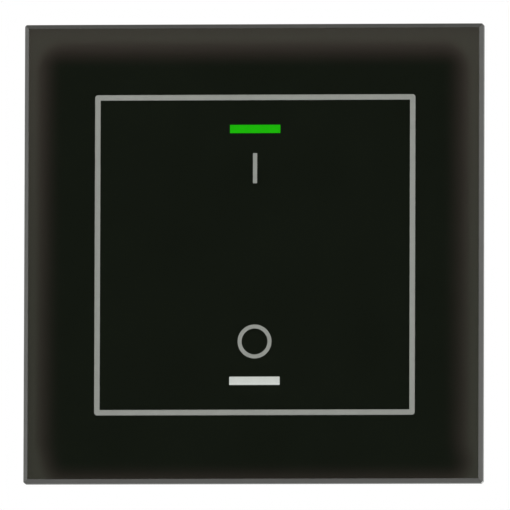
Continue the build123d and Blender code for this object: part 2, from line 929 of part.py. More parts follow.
with BuildPart() as power_board_chips:
    chip_places = [(x, -power_chip_offset) for x, z in pole_places]
    add_bars(
        chip_places,
        power_chip_length,
        power_chip_width,
        board_back_y,
        board_back_y + power_chip_height,
    )
write(power_board_chips, "power_board_chips")

# Transformer: base, core and winding

core_front_y = board_back_y + transformer_base_thickness
core_back_y = core_front_y + transformer_height
window_front_y = core_front_y + transformer_bar
window_back_y = core_back_y - transformer_bar
window_inner = transformer_middle_leg / 2
window_outer = transformer_length / 2 - transformer_outer_leg

with BuildPart() as transformer_base:
    add_bars(
        [(transformer_x, transformer_z)],
        transformer_length - 2 * transformer_base_inset,
        transformer_base_width,
        board_back_y,
        core_front_y,
    )
write(transformer_base, "transformer_base")

with BuildPart() as transformer_core:
    add_bars(
        [(transformer_x, transformer_z)],
        transformer_length,
        transformer_core_width,
        core_front_y,
        core_back_y,
    )
    window_offset = (window_inner + window_outer) / 2
    add_bars(
        pair_places(transformer_x, transformer_z, 2 * window_offset),
        window_outer - window_inner,
        transformer_core_width + overrun,
        window_front_y,
        window_back_y,
        Mode.SUBTRACT,
    )
write(transformer_core, "transformer_core")

with BuildPart() as transformer_winding:
    with BuildSketch(facing(window_back_y - transformer_winding_gap)):
        with Locations((transformer_x, transformer_z)):
            RectangleRounded(
                transformer_middle_leg + 2 * transformer_winding_wall,
                transformer_core_width + 2 * transformer_winding_wall,
                transformer_winding_corner,
            )
            Rectangle(
                transformer_middle_leg + 2 * transformer_winding_gap,
                transformer_core_width + 2 * transformer_winding_gap,
                mode=Mode.SUBTRACT,
            )
    extrude(amount=window_back_y - window_front_y - 2 * transformer_winding_gap)
write(transformer_winding, "transformer_winding")

# Relay: base, pins, yoke, core, bobbin, coil, contacts, armature and cover

relay_floor_y = board_back_y + relay_base_thickness
yoke_foot_y = relay_floor_y + yoke_thickness
yoke_top_y = relay_floor_y + yoke_leg_height
pole_front_y = yoke_top_y - pole_thickness
coil_front_y = yoke_foot_y + bobbin_flange_thickness
coil_back_y = pole_front_y - bobbin_gap - bobbin_flange_thickness
bobbin_bore_radius = core_radius + bobbin_gap
bobbin_tube_radius = bobbin_bore_radius + bobbin_tube_wall
yoke_leg_x = bobbin_flange_radius + yoke_leg_gap + yoke_thickness
base_inset = relay_wall + relay_fit
contact_x = relay_length / 2 - base_inset - contact_strip_thickness - contact_radius
relay_middle = [(relay_x, relay_z)]

with BuildPart() as relay_base:
    add_bars(
        relay_middle,
        relay_length - 2 * base_inset,
        relay_width - 2 * base_inset,
        board_back_y,
        relay_floor_y,
    )
    add_rods(relay_pin_places, relay_pin_radius, board_back_y, relay_floor_y, Mode.SUBTRACT)
write(relay_base, "relay_base")

with BuildPart() as relay_pins:
    add_rods(relay_pin_places, relay_pin_radius, lead_end_y, relay_floor_y)
write(relay_pins, "relay_pins")

with BuildPart() as relay_yoke:
    foot_left_x = relay_x - core_radius - yoke_thickness
    foot_right_x = relay_x + yoke_leg_x
    add_bars(
        [((foot_left_x + foot_right_x) / 2, relay_z)],
        foot_right_x - foot_left_x,
        yoke_width,
        relay_floor_y,
        yoke_foot_y,
    )
    leg_place = (foot_right_x - yoke_thickness / 2, relay_z)
    add_bars([leg_place], yoke_thickness, yoke_width, yoke_foot_y, yoke_top_y)
write(relay_yoke, "relay_yoke")

with BuildPart() as relay_core:
    add_rods(relay_middle, core_radius, yoke_foot_y, pole_front_y)
    add_rods(relay_middle, pole_radius, pole_front_y, yoke_top_y)
write(relay_core, "relay_core")

with BuildPart() as relay_bobbin:
    add_rods(relay_middle, bobbin_flange_radius, yoke_foot_y, coil_front_y)
    add_rods(relay_middle, bobbin_tube_radius, coil_front_y, coil_back_y)
    flange_end_y = coil_back_y + bobbin_flange_thickness
    add_rods(relay_middle, bobbin_flange_radius, coil_back_y, flange_end_y)
    add_rods(relay_middle, bobbin_bore_radius, yoke_foot_y, flange_end_y, Mode.SUBTRACT)
write(relay_bobbin, "relay_bobbin")

with BuildPart() as relay_coil:
    add_rods(relay_middle, coil_radius, coil_front_y, coil_back_y)
    add_rods(relay_middle, bobbin_tube_radius, coil_front_y, coil_back_y, Mode.SUBTRACT)
write(relay_coil, "relay_coil")

# The armature and its contact leaf are drawn along X from the hinge and tipped open about it

hinge_x = relay_x + yoke_leg_x
tip = math.radians(armature_angle)
hinge_plane = Plane(
    origin=(hinge_x, yoke_top_y, relay_z),
    x_dir=(math.cos(tip), -math.sin(tip), 0),
    z_dir=(0, 0, 1),
)
contact_reach = -yoke_leg_x - contact_x
armature_end = contact_reach + contact_radius + armature_contact_gap
armature_top = armature_gap + armature_thickness
leaf_top = armature_top + leaf_thickness
leaf_start = armature_end + leaf_overlap
leaf_end = contact_reach - leaf_tip


def draw_side(left, right, bottom, top):
    """A rectangle between its left and right sides and its bottom and top."""
    with Locations(((left + right) / 2, (bottom + top) / 2)):
        Rectangle(right - left, top - bottom)


with BuildPart() as relay_armature:
    with BuildSketch(hinge_plane):
        draw_side(armature_end, armature_heel, armature_gap, armature_top)
    extrude(amount=armature_width / 2, both=True)
write(relay_armature, "relay_armature")

with BuildPart() as relay_contact_leaf:
    with BuildSketch(hinge_plane):
        draw_side(leaf_end, leaf_start, armature_top, leaf_top)
    extrude(amount=leaf_width / 2, both=True)
    contact_plane = Plane(
        origin=hinge_plane.from_local_coords((contact_reach, armature_top, 0)),
        x_dir=hinge_plane.x_dir,
        z_dir=-hinge_plane.y_dir,
    )
    with BuildSketch(contact_plane):
        Circle(contact_radius)
    extrude(amount=contact_height)
write(relay_contact_leaf, "relay_contact_leaf")

with BuildPart() as relay_fixed_contact:
    contact_front_y = yoke_top_y + armature_top - contact_height - contact_closed_gap
    strip_back_y = contact_front_y - contact_height
    strip_front_y = strip_back_y - contact_strip_thickness
    contact_place = (relay_x - contact_x, relay_z)
    add_rods([contact_place], contact_radius, strip_back_y, contact_front_y)
    strip_left_x = relay_x - contact_x - contact_radius - contact_strip_thickness
    strip_right_x = relay_x - contact_x + contact_strip_reach
    add_bars(
        [((strip_left_x + strip_right_x) / 2, relay_z)],
        strip_right_x - strip_left_x,
        contact_strip_width,
        strip_front_y,
        strip_back_y,
    )
    add_bars(
        [(strip_left_x + contact_strip_thickness / 2, relay_z)],
        contact_strip_thickness,
        contact_strip_width,
        relay_floor_y,
        strip_front_y,
    )
write(relay_fixed_contact, "relay_fixed_contact")

# Relay cover, with the rib inside it that stops the open armature's leaf

with BuildPart() as relay_cover:
    relay_back_y = board_back_y + relay_height
    ceiling_y = relay_back_y - relay_wall
    add_bars(relay_middle, relay_length, relay_width, board_back_y, relay_back_y)
    fillet(edges_at(relay_back_y), relay_edge_radius)
    add_bars(
        relay_middle,
        relay_length - 2 * relay_wall,
        relay_width - 2 * relay_wall,
        board_back_y,
        ceiling_y,
        Mode.SUBTRACT,
    )
    stop_reach = contact_reach - armature_stop_width / 2
    leaf_lift = hinge_plane.from_local_coords((stop_reach, leaf_top, 0)).Y
    add_bars(
        [(relay_x - contact_x, relay_z)],
        armature_stop_width,
        leaf_width,
        leaf_lift + armature_stop_gap,
        ceiling_y,
    )
write(relay_cover, "relay_cover")

# Terminal block

with BuildPart() as terminal_block:
    add_bars([(0, block_middle_z)], block_width, block_height, block_front_y, block_back_y)
    flange_bottom_z = housing_wall + block_fit - module_side / 2
    flange_height = block_top_z - flange_bottom_z
    add_bars(
        [(0, flange_bottom_z + flange_height / 2)],
        block_width + 2 * block_flange_margin,
        flange_height,
        block_front_y,
        flange_back_y,
    )
    cheek_offset = (block_width - block_cheek) / 2
    cheek_z = block_bottom_z - wire_recess / 2
    cheek_places = [(cheek_offset, cheek_z), (-cheek_offset, cheek_z)]
    add_bars(cheek_places, block_cheek, wire_recess, flange_back_y, block_back_y)
    foot_places = corner_places(
        block_width / 2 - block_foot_inset,
        block_height / 2 - block_foot_inset,
        z=block_middle_z,
    )
    add_rods(foot_places, block_foot_radius, board_back_y, block_front_y)
    pocket_width = cage_width + 2 * cage_clearance
    add_bars(pole_places, pocket_width, pocket_depth, block_front_y, pocket_back_y, Mode.SUBTRACT)
    slot_top_z = pocket_bottom_z + tongue_length + 2 * tongue_clearance
    slot_run = slot_top_z - terminal_z
    add_bars(
        [(x, terminal_z + slot_run / 2) for x, z in pole_places],
        tongue_width + 2 * tongue_clearance,
        slot_run,
        block_front_y,
        tongue_back_y,
        Mode.SUBTRACT,
    )
    shank_hole_radius = terminal_thread_radius + terminal_thread_clearance
    add_rods(pole_places, shank_hole_radius, pocket_back_y, block_back_y, Mode.SUBTRACT)
    head_hole_radius = terminal_head_radius + terminal_head_clearance
    add_rods(pole_places, head_hole_radius, head_seat_y, block_back_y, Mode.SUBTRACT)
    entry_front_y = cage_open_front_y + cage_clamp_wall
    entry_height = tongue_front_y - entry_front_y
    entry_middle_y = (entry_front_y + tongue_front_y) / 2
    with BuildSketch(Plane.XY.offset(block_bottom_z)) as entries:
        with Locations(*((x, entry_middle_y) for x, z in pole_places)):
            Rectangle(entry_width, entry_height)
    extrude(entries.sketch, amount=entry_wall, mode=Mode.SUBTRACT)
    entry_rims = edges().filter_by(
        lambda edge: abs(edge.center().Z - block_bottom_z) < entry_funnel / 2
        and abs(edge.center().Y - entry_middle_y) <= entry_height / 2 + entry_funnel / 2
        and edge.length <= entry_width + entry_funnel / 2
    )
    chamfer(entry_rims, entry_funnel)
write(terminal_block, "terminal_block")

# Contact tongues, bent down from the cages to the power board

with BuildPart() as terminal_tongues:
    run_start_z = pocket_bottom_z + tongue_clearance
    run_end_z = run_start_z + tongue_length
    for x, z in pole_places:
        with BuildSketch(Plane.YZ.offset(x - tongue_width / 2)) as tongue_side:
            with BuildLine():
                Polyline(
                    (tongue_back_y, run_start_z),
                    (tongue_back_y, run_end_z),
                    (lead_end_y, run_end_z),
                    (lead_end_y, run_end_z - tongue_thickness),
                    (tongue_front_y, run_end_z - tongue_thickness),
                    (tongue_front_y, run_start_z),
                    close=True,
                )
            make_face()
        extrude(tongue_side.sketch, amount=tongue_width)
    bends = edges().filter_by(Axis.X).filter_by(
        lambda edge: abs(edge.center().Y - tongue_back_y) < tongue_clearance
        and abs(edge.center().Z - run_end_z) < tongue_clearance
    )
    fillet(bends, tongue_bend_radius)
write(terminal_tongues, "terminal_tongues")

# Rising cages and their captive screws, with the cages fully open

for name, (pole_x, pole_z) in zip(pole_names, pole_places):
    with BuildPart() as terminal_cage:
        add_bars(
            [(pole_x, pole_z)],
            cage_width,
            cage_depth,
            cage_open_front_y,
            cage_open_back_y,
        )
        fillet(edges().filter_by(Axis.Z), cage_edge_radius)
        add_bars(
            [(pole_x, pole_z)],
            cage_width - 2 * cage_side_wall,
            cage_depth + overrun,
            cage_open_front_y + cage_clamp_wall,
            cage_open_back_y - cage_thread_wall,
            Mode.SUBTRACT,
        )
        nut_front_y = cage_open_back_y - cage_thread_wall
        nut_radius = terminal_thread_radius + terminal_thread_clearance
        add_rods([(pole_x, pole_z)], nut_radius, nut_front_y, cage_open_back_y, Mode.SUBTRACT)
    write(terminal_cage, f"{name}_terminal_cage")

    with BuildPart() as terminal_screw:
        head_front_y = head_seat_y + terminal_head_seat_gap
        head_back_y = head_front_y + terminal_head_height
        shank_front_y = tongue_back_y + terminal_tip_gap
        add_rods([(pole_x, pole_z)], terminal_thread_radius, shank_front_y, head_front_y)
        add_rods([(pole_x, pole_z)], terminal_head_radius, head_front_y, head_back_y)
        chamfer(edges_at(head_back_y), terminal_head_edge)
        slot_front_y = head_back_y - terminal_slot_depth
        head_diameter = 2 * terminal_head_radius
        place = [(pole_x, pole_z)]
        slot = terminal_slot_width
        add_bars(place, head_diameter, slot, slot_front_y, head_back_y, Mode.SUBTRACT)
        add_bars(place, slot, head_diameter, slot_front_y, head_back_y, Mode.SUBTRACT)
    write(terminal_screw, f"{name}_terminal_screw")
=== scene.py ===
import math

import bmesh
import bpy
from mathutils import Matrix, Vector


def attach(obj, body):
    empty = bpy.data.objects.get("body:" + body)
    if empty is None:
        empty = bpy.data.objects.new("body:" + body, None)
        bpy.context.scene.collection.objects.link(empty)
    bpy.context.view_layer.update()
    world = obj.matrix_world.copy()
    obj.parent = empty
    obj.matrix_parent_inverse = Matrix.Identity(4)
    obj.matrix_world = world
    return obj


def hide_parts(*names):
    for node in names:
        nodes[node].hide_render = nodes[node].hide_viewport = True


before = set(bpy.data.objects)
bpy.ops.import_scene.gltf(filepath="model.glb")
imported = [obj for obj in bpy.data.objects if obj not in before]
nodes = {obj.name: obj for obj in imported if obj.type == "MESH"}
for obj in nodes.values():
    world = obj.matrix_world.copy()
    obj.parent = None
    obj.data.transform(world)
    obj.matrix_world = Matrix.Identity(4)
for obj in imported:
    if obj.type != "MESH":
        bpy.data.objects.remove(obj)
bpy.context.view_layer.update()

MM = 0.001
WHITE = (1, 1, 1, 1)
# The corners of a square, in turn
CORNERS = ((1, 1), (-1, 1), (-1, -1), (1, -1))

# The glass in millimetres, as the frame has it
panel = nodes["glass_panel"]
panel_points = [panel.matrix_world @ point.co / MM for point in panel.data.vertices]
GLASS_HALF = max(point.x for point in panel_points)
GLASS_FRONT = min(point.y for point in panel_points)
GLASS_BACK = max(point.y for point in panel_points)

# Camera: a long lens, a few degrees to the right of the front's middle and below it
CAMERA_DISTANCE = 4.0
CAMERA_YAW = math.radians(4.5)
CAMERA_PITCH = math.radians(-4.5)
CAMERA_ROLL = math.radians(0.1769)
SENSOR = 36.0
FRAME_WIDTH = 101.858 * MM
CAMERA_CLIP = (0.1, 40.0)
AIM = Vector((0.355 * MM, GLASS_FRONT * MM, -0.356 * MM))

# Light. The floor glows by FLOOR_LIFT for the camera alone, so that it shows white.
WORLD_LEVEL = 0.8
SIDE_LAMP_POWER = 6.0
SIDE_LAMP_SIZE = 0.7
SIDE_LAMP_PLACE = Vector((1.2, -0.1, 0.0))
KEY_LAMP_POWER = 16.0
KEY_LAMP_SIZE = 1.0
KEY_LAMP_PLACE = Vector((0.0, -1.8, 0.25))
FLOOR_HEIGHT = -0.25
FLOOR_SIDE = 3.0
FLOOR_COLOUR = (0.8, 0.8, 0.8, 1)
FLOOR_ROUGHNESS = 0.9
FLOOR_LIFT = 0.3

# What the front mirrors: a soft dark field inside a pale surround. Each side of the field has the
# place on the front where the surround begins to fade, the place where it has gone, and the power
# at which it fades.
FIELD = (0.0, 0.0, 0.0, 1)
FIELD_LEFT = (-43.9 * MM, -38.0 * MM, 2.2)
FIELD_RIGHT = (43.75 * MM, 37.4 * MM, 2.3)
FIELD_HIGH = (43.0 * MM, 37.3 * MM, 1.6)
FIELD_LOW = (-46.8 * MM, -41.3 * MM, 2.1)
# Near the foot of the front, the field stands this far to the right
FIELD_STEP, FIELD_STEP_RISE = 0.9 * MM, (-42.0 * MM, -38.0 * MM)
# The surround is paler at the head than at the foot, and redder where it fades
SURROUND_LOW = (0.80, 0.77, 0.625)
SURROUND_HIGH = (1.0, 0.91, 0.76)
SURROUND_RISE = (-10.0 * MM, 43.0 * MM)
FADE_TINT = (1.16, 0.74, 0.90)
# How far ahead a direction points where the surround begins to show, and where it is whole
FRONT_CONE = (0.90, 0.98)
LEAST_AHEAD = 0.001
# What gloss mirrors from straight above and below
DIM_GLOSS = (0.1, 0.1, 0.1, 1)


# Nodes

NOISE_ROUGHNESS = 0.55
LEAST_ROUGHNESS = 0.02


def coordinates(tree, stretch=(1, 1, 1)):
    """Object coordinates in millimetres, so that a texture's scale is in features a millimetre."""
    place = tree.nodes.new("ShaderNodeTexCoord")
    mapping = tree.nodes.new("ShaderNodeMapping")
    mapping.inputs["Scale"].default_value = [s / MM for s in stretch]
    tree.links.new(place.outputs["Object"], mapping.inputs["Vector"])
    return mapping.outputs["Vector"]


def noise(tree, vector, size, detail=3.0):
    """Noise whose features are about size millimetres wide."""
    texture = tree.nodes.new("ShaderNodeTexNoise")
    texture.inputs["Scale"].default_value = 1.0 / size
    texture.inputs["Detail"].default_value = detail
    texture.inputs["Roughness"].default_value = NOISE_ROUGHNESS
    tree.links.new(vector, texture.inputs["Vector"])
    return texture.outputs["Fac"]


def ranged(tree, value, low, high, start=0.3, end=0.7):
    """value from start to end becomes low to high."""
    node = tree.nodes.new("ShaderNodeMapRange")
    node.inputs["From Min"].default_value = start
    node.inputs["From Max"].default_value = end
    node.inputs["To Min"].default_value = low
    node.inputs["To Max"].default_value = high
    tree.links.new(value, node.inputs["Value"])
    return node.outputs["Result"]


def mixed(tree, factor, a, b):
    """Colour a where factor is 0 and b where it is 1. Each is a colour or a socket."""
    node = tree.nodes.new("ShaderNodeMix")
    node.data_type = "RGBA"
    for socket, value in ((node.inputs[0], factor), (node.inputs[6], a), (node.inputs[7], b)):
        if isinstance(value, bpy.types.NodeSocket):
            tree.links.new(value, socket)
        else:
            socket.default_value = value
    return node.outputs[2]


def maths(tree, operation, *values):
    """The result of an operation on values, each a number or a socket."""
    node = tree.nodes.new("ShaderNodeMath")
    node.operation = operation
    for socket, value in zip(node.inputs, values):
        if isinstance(value, bpy.types.NodeSocket):
            tree.links.new(value, socket)
        else:
            socket.default_value = value
    return node.outputs[0]


def bumped(tree, shader, height, depth):
    """Gives the shader a relief. height goes from 0 to 1, and depth is in millimetres."""
    node = tree.nodes.new("ShaderNodeBump")
    node.inputs["Strength"].default_value = 1.0
    node.inputs["Distance"].default_value = depth * MM
    tree.links.new(height, node.inputs["Height"])
    tree.links.new(node.outputs["Normal"], shader.inputs["Normal"])


def shade(colour, share):
    """colour made lighter or darker by a share of itself."""
    return tuple(min(1.0, c * (1 + share)) for c in colour[:3]) + (1.0,)


def surface(
    name, colour, roughness, metallic=0.0, tint=0.1, patch=4.0, grain=0.3, depth=0.01,
    spread=0.08, stretch=(1, 1, 1), **sockets
):
    """A material with a slightly uneven colour, fine grain in its normal and an uneven gloss.
    patch and grain are sizes and depth is the grain's height, in millimetres. The colour strays by
    a share of tint and the roughness by spread, either way."""
    material = bpy.data.materials.new(name)
    material.use_nodes = True
    tree = material.node_tree
    shader = tree.nodes["Principled BSDF"]
    vector = coordinates(tree, stretch)
    cloudy = noise(tree, vector, patch)
    fine = noise(tree, vector, grain, detail=2.0)
    blend = ranged(tree, cloudy, 0.0, 1.0)
    shaded = mixed(tree, blend, shade(colour, -tint), shade(colour, tint))
    tree.links.new(shaded, shader.inputs["Base Color"])
    smooth, rough = max(LEAST_ROUGHNESS, roughness - spread), min(1.0, roughness + spread)
    gloss = ranged(tree, fine, smooth, rough)
    tree.links.new(gloss, shader.inputs["Roughness"])
    bumped(tree, shader, fine, depth)
    shader.inputs["Metallic"].default_value = metallic
    for key, value in sockets.items():
        shader.inputs[key.replace("_", " ")].default_value = value
    return material, tree, shader


def plain(name, colour, roughness, **rest):
    """The material of a surface to whose nodes nothing is added."""
    return surface(name, colour, roughness, **rest)[0]


# Glass, in millimetres

GLASS_CUT, GLASS_CHAMFER = 0.35, 0.85
GLASS_ARRIS_DEPTH, GLASS_ARRIS_WIDTH = 0.45, 0.6
GLASS_INTO_PRINT = 0.03
EDGE_ROUND = 0.03

GLASS_IOR = 1.5
GLASS_TINT = (0.965, 0.985, 0.965, 1)
CLOUD_SIZE, CLOUD_SHARE = 25.0, 0.01
SMUDGE_ROUGHNESS, SMUDGE_SIZE, SMUDGE_STRETCH = 0.006, 9.0, (1, 1, 0.6)
# Name, colour, roughness and gloss of each ground face. The grind is alike all round, and the
# colours are painted light and shade by facing: paler sides, darker chamfers and arrises, and a
# painted glint on the cut corners
GROUND_FACES_WITH_PAINTED_LIGHT = (
    ("ground_chamfer_painted_shade", (0.0435, 0.0435, 0.039), 0.45, 0.78),
    ("ground_side_painted_light", (0.15, 0.155, 0.145), 0.6, 0.5),
    ("ground_arris_painted_shade", (0.012, 0.013, 0.012), 0.6, 0.5),
    ("ground_corner_painted_glint", (0.5, 0.51, 0.49), 0.4, 0.5),
)
# The place of each finish, and of each painted light or shade of the ground faces, among the
# mesh's materials
FRONT, BACK, CHAMFER, SIDE, ARRIS, CORNER = range(6)
# A face is level with the pane where its normal's depth is over FLAT, and slopes where it is over
# SLOPED. Any other face is a side, or a cut corner where its normal goes both across and upward,
# the lesser over MITRED of the greater.
FLAT, SLOPED, MITRED = 0.97, 0.35, 0.4


def clear_glass(name, mirrors):
    """Clear glass: a pane that shows what is behind it, and mirrors by its Fresnel share where it
    meets the air. Its back is bonded to the print, so nothing is mirrored there."""
    material = bpy.data.materials.new(name)
    material.use_nodes = True
    tree = material.node_tree
    tree.nodes.clear()
    out = tree.nodes.new("ShaderNodeOutputMaterial")
    through = tree.nodes.new("ShaderNodeBsdfTransparent")
    cloudy = ranged(tree, noise(tree, coordinates(tree), CLOUD_SIZE), 0.0, 1.0)
    tint = mixed(tree, cloudy, GLASS_TINT, shade(GLASS_TINT, CLOUD_SHARE))
    tree.links.new(tint, through.inputs["Color"])
    if not mirrors:
        tree.links.new(through.outputs[0], out.inputs["Surface"])
        return material
    fresnel = tree.nodes.new("ShaderNodeFresnel")
    fresnel.inputs["IOR"].default_value = GLASS_IOR
    mirror = tree.nodes.new("ShaderNodeBsdfGlossy")
    mirror.inputs["Color"].default_value = WHITE
    smudge = noise(tree, coordinates(tree, SMUDGE_STRETCH), SMUDGE_SIZE, detail=5.0)
    tree.links.new(ranged(tree, smudge, 0.0, SMUDGE_ROUGHNESS), mirror.inputs["Roughness"])
    blend = tree.nodes.new("ShaderNodeMixShader")
    tree.links.new(fresnel.outputs[0], blend.inputs[0])
    tree.links.new(through.outputs[0], blend.inputs[1])
    tree.links.new(mirror.outputs[0], blend.inputs[2])
    tree.links.new(blend.outputs[0], out.inputs["Surface"])
    return material


def ground_glass(name, colour, roughness, gloss):
    """Glass ground to a fine matt finish, with faint marks of the wheel along it. colour is the
    painted light or shade of the faces it goes on.
    """
    return plain(
        name, colour, roughness, tint=0.06, patch=3.0, grain=0.09, depth=0.004, IOR=GLASS_IOR,
        Specular_IOR_Level=gloss,
    )


def glass_finish_and_painted_light(normal):
    """Which finish a face of the glass has, and which painted light or shade if it is ground, by
    the way it faces.
    """
    across, depth, upward = (abs(v) for v in normal)
    if depth > FLAT:
        return BACK if normal.y > 0 else FRONT
    if depth > SLOPED:
        return ARRIS if normal.y > 0 else CHAMFER
    return CORNER if min(across, upward) > MITRED * max(across, upward) else SIDE


def square(shell, half, y):
    """The four points of an upright square at the depth y."""
    return [shell.verts.new((x * half * MM, y * MM, z * half * MM)) for x, z in CORNERS]


def cut_corner(shell, x, z):
    """Cuts one upright corner of the glass off, across x and z."""
    inside = GLASS_HALF - GLASS_CUT / 2
    cut = bmesh.ops.bisect_plane(
        shell, geom=shell.verts[:] + shell.edges[:] + shell.faces[:], dist=1e-7,
        plane_co=(x * inside * MM, 0, z * inside * MM), plane_no=(x, 0, z), clear_outer=True,
    )
    rim = [part for part in cut["geom_cut"] if isinstance(part, bmesh.types.BMEdge)]
    bmesh.ops.edgenet_fill(shell, edges=rim)


def glass_front():
    """The glass, its back just inside the print so that the two share no surface.
    Its faces are polished, and its chamfers and sides are ground, with painted light and shade by
    the way each faces."""
    levels = (
        (GLASS_HALF - GLASS_CHAMFER, GLASS_FRONT),
        (GLASS_HALF, GLASS_FRONT + GLASS_CHAMFER),
        (GLASS_HALF, GLASS_BACK - GLASS_ARRIS_DEPTH),
        (GLASS_HALF - GLASS_ARRIS_WIDTH, GLASS_BACK + GLASS_INTO_PRINT),
    )
    shell = bmesh.new()
    rings = [square(shell, half, y) for half, y in levels]
    shell.faces.new(rings[0])
    shell.faces.new(list(reversed(rings[-1])))
    for upper, lower in zip(rings, rings[1:]):
        for i in range(len(upper)):
            j = (i + 1) % len(upper)
            shell.faces.new((upper[j], upper[i], lower[i], lower[j]))
    for x, z in CORNERS:
        cut_corner(shell, x, z)
    bmesh.ops.recalc_face_normals(shell, faces=shell.faces)
    bmesh.ops.bevel(
        shell, geom=list(shell.edges), offset=EDGE_ROUND * MM, segments=2, affect="EDGES",
        profile=0.5, clamp_overlap=True,
    )
    shell.normal_update()
    for face in shell.faces:
        face.material_index = glass_finish_and_painted_light(face.normal)
    mesh = bpy.data.meshes.new("glass_front")
    shell.to_mesh(mesh)
    shell.free()
    mesh.materials.append(clear_glass("clear_glass", True))
    mesh.materials.append(clear_glass("bonded_glass", False))
    # Each ground material carries the painted light or shade of the faces that take it
    for finish in GROUND_FACES_WITH_PAINTED_LIGHT:
        mesh.materials.append(ground_glass(*finish))
    piece = bpy.data.objects.new("glass_front", mesh)
    bpy.context.scene.collection.objects.link(piece)
    return piece


# The other finishes, with lengths in millimetres

INK = dict(depth=0.001, Specular_IOR_Level=0.0)
BRUSHED = dict(metallic=1.0, tint=0.06, patch=5.0, grain=0.25, depth=0.004, stretch=(0.15, 1, 1))

# Colour and roughness of each metal with the marks of a brush or a roll
BRUSHED_METALS = {
    "copper_foil": ((0.7, 0.33, 0.18), 0.28),
    "tinned_metal": ((0.62, 0.62, 0.6), 0.3),
    "screw_steel": ((0.66, 0.64, 0.56), 0.3),
    "soft_iron": ((0.48, 0.48, 0.47), 0.38),
    "contact_bronze": ((0.68, 0.52, 0.33), 0.3),
    "cage_steel": ((0.58, 0.57, 0.53), 0.32),
}
# Colour, roughness and grain of each other finish
PLAIN_FINISHES = {
    "black_ink": ((0.0092, 0.0116, 0.0077), 0.5, dict(tint=0.05, patch=12.0, grain=0.4, **INK)),
    "grey_ink": ((0.402, 0.399, 0.382), 0.5, dict(tint=0.02, patch=2.0, grain=0.12, **INK)),
    "adhesive_foam": ((0.02, 0.02, 0.02), 0.9, dict(grain=0.12, depth=0.03)),
    "diffusing_acrylic": (
        (0.8, 0.82, 0.8), 0.35,
        dict(tint=0.03, depth=0.004, Subsurface_Weight=0.4, Subsurface_Scale=0.002),
    ),
    "led_body": ((0.8, 0.79, 0.72), 0.45, dict(tint=0.04, patch=0.8, grain=0.08)),
    "chip_black": ((0.02, 0.02, 0.022), 0.55, dict(tint=0.2, patch=1.5, grain=0.1)),
    "chip_ceramic": ((0.35, 0.27, 0.19), 0.5, dict(tint=0.15, patch=0.6, grain=0.06)),
    "black_nylon": ((0.025, 0.025, 0.027), 0.5, dict(grain=0.15, depth=0.008)),
    "carrier_plastic": ((0.045, 0.047, 0.048), 0.55, dict(tint=0.06, grain=0.22, depth=0.014)),
    "nickel_magnet": (
        (0.66, 0.65, 0.62), 0.16, dict(metallic=1.0, tint=0.04, patch=3.0, grain=0.4, depth=0.001)
    ),
    "zinc_steel": ((0.6, 0.61, 0.62), 0.42, dict(metallic=1.0, tint=0.09, patch=2.2, depth=0.003)),
    "housing_plastic": (
        (0.55, 0.56, 0.56), 0.5, dict(tint=0.03, patch=9.0, grain=0.25, depth=0.012)
    ),
    "terminal_plastic": ((0.3, 0.31, 0.32), 0.5, dict(tint=0.04, patch=5.0, grain=0.2)),
    "film_yellow": ((0.76, 0.52, 0.05), 0.3, dict(tint=0.04, depth=0.006)),
    "fuse_brown": ((0.12, 0.05, 0.03), 0.45, dict()),
    "capacitor_sleeve": ((0.02, 0.025, 0.03), 0.3, dict()),
    "varistor_blue": ((0.03, 0.12, 0.36), 0.3, dict(tint=0.12, patch=2.0, grain=0.6, depth=0.03)),
    "ferrite": ((0.06, 0.06, 0.065), 0.6, dict(tint=0.2, patch=1.0, grain=0.1)),
    "winding_tape": ((0.8, 0.6, 0.1), 0.25, dict(tint=0.05, grain=0.8)),
    "relay_plastic": ((0.03, 0.03, 0.035), 0.4, dict(tint=0.08, grain=0.2)),
}

# A lit window: how much darker its ink is unlit, how far apart its lamps are, how much brighter it
# is over one, and how much brighter its rim is
UNLIT_SHARE, LAMP_SPACING, LAMP_SHARE, RIM_SHARE = -0.7, 3.2, 0.015, 0.11
GREEN_LIGHT = (0.0113, 0.388, 0.0032)
WHITE_LIGHT = (0.500, 0.512, 0.495)
WHITE_RIM = (-25.4, -26.0)

MASK_GREEN = (0.018, 0.115, 0.045)
MASK_OVER_COPPER = (0.038, 0.20, 0.085, 1)
VIA_TIN = (0.5, 0.5, 0.47, 1)
TRACK_LENGTH, TRACK_PITCH, TRACK_WIDTH, TRACK_EDGE = 43.0, 1.3, 0.15, 0.1
# Tracks run level where the zone's noise is high and upright where it is low
ZONE_SIZE, LEVEL_ZONE, UPRIGHT_ZONE = 15.0, (0.53, 0.535), (0.455, 0.46)
VIA_SPACING, VIA_EDGE = 5.5, (0.055, 0.07)

WIRE_COPPER = (0.62, 0.26, 0.12)
WIRE_TURNS, WIRE_WANDER, WIRE_DEPTH = 1.3, 0.3, 0.04


def lit_window(name, colour, rim=None):
    """A bar of diffusing ink with light behind it, a little brighter over each of its lamps.
    rim is the height below which it is brighter, and the height at which it is brightest."""
    material, tree, shader = surface(
        name, shade(colour, UNLIT_SHARE), 0.5, tint=0.05, patch=1.0, grain=0.15, depth=0.001,
        Specular_IOR_Level=0.0,
    )
    vector = coordinates(tree)
    parts = tree.nodes.new("ShaderNodeSeparateXYZ")
    tree.links.new(vector, parts.inputs[0])
    turn = maths(tree, "MULTIPLY", parts.outputs["X"], 2 * math.pi / LAMP_SPACING)
    glow = ranged(tree, maths(tree, "COSINE", turn), 0.0, 1.0, start=-1.0, end=1.0)
    lit = mixed(tree, glow, shade(colour, -LAMP_SHARE), shade(colour, LAMP_SHARE))
    if rim:
        lower = ranged(tree, parts.outputs["Z"], 1.0, 0.0, start=rim[1], end=rim[0])
        lit = mixed(tree, lower, lit, shade(colour, RIM_SHARE))
    tree.links.new(lit, shader.inputs["Emission Color"])
    shader.inputs["Emission Strength"].default_value = 1.0
    return material


